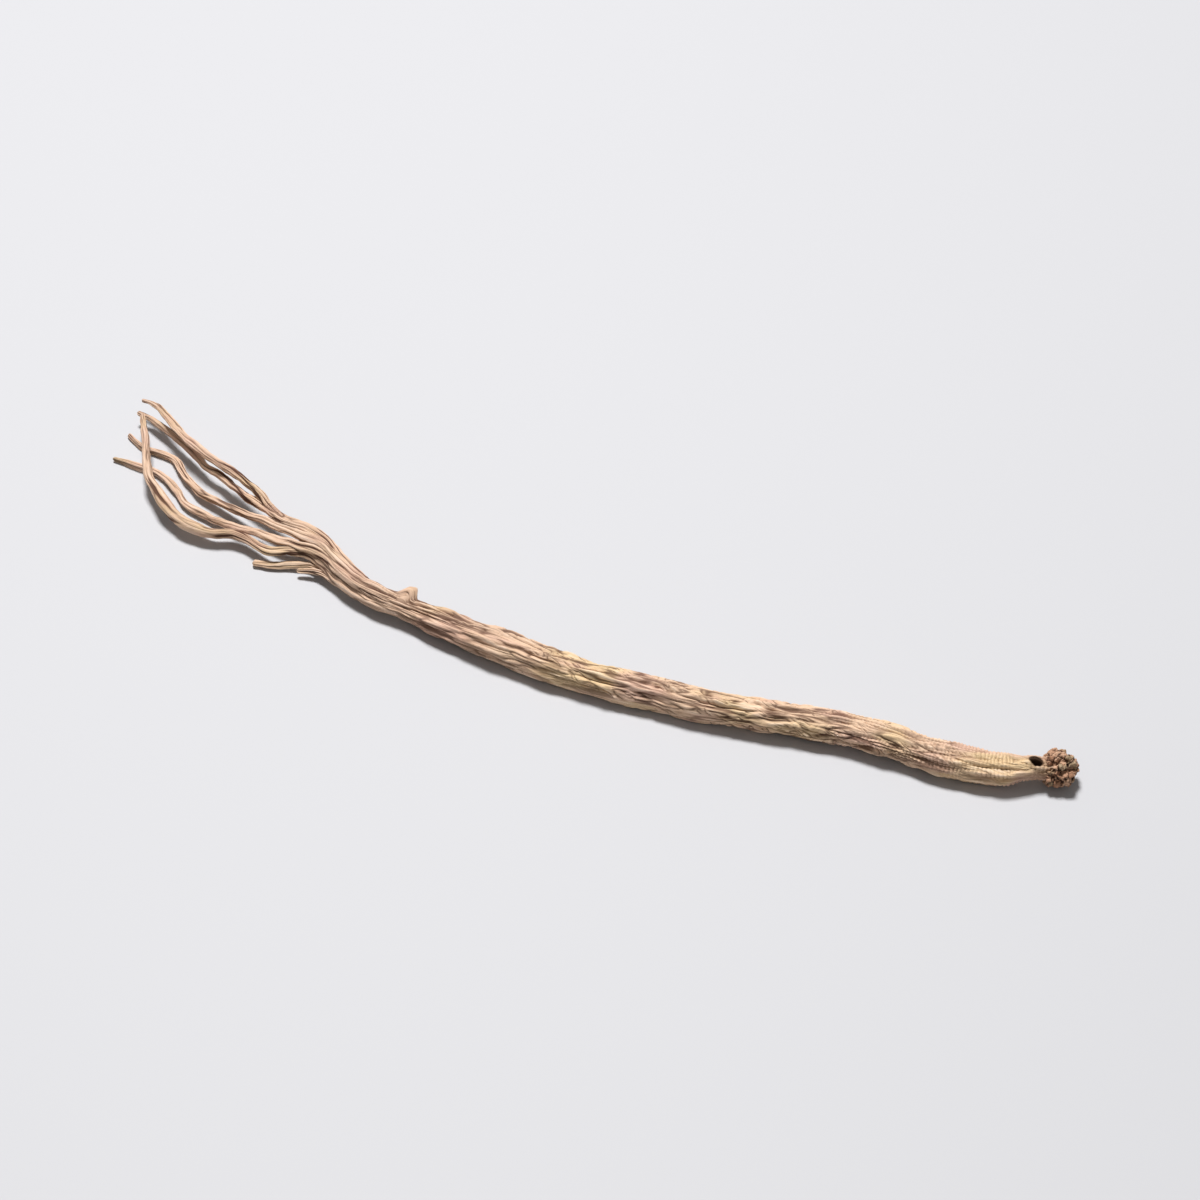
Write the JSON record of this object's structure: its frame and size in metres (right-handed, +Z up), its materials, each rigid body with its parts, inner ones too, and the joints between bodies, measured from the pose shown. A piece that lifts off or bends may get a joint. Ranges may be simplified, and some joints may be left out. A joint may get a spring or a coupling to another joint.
{
  "type": "codonopsis root",
  "caption": "Dried codonopsis root lying on its side: a long furrowed body with a knobbly head at one end and thin wavy rootlets at the other.",
  "frame": {"origin": "on the surface the root lies on, under the middle of its bounding box", "axes": "+X along the root from the rootlets to the head, +Z up, +Y away from the side that its body bows out to"},
  "size_m": [0.3282, 0.0766, 0.0113],
  "materials": {
    "dried_root": "matte, dry and wrinkled, yellowish buff with brown furrows"
  },
  "bodies": {
    "root": {"root": "dried_root"}
  },
  "joints": []
}
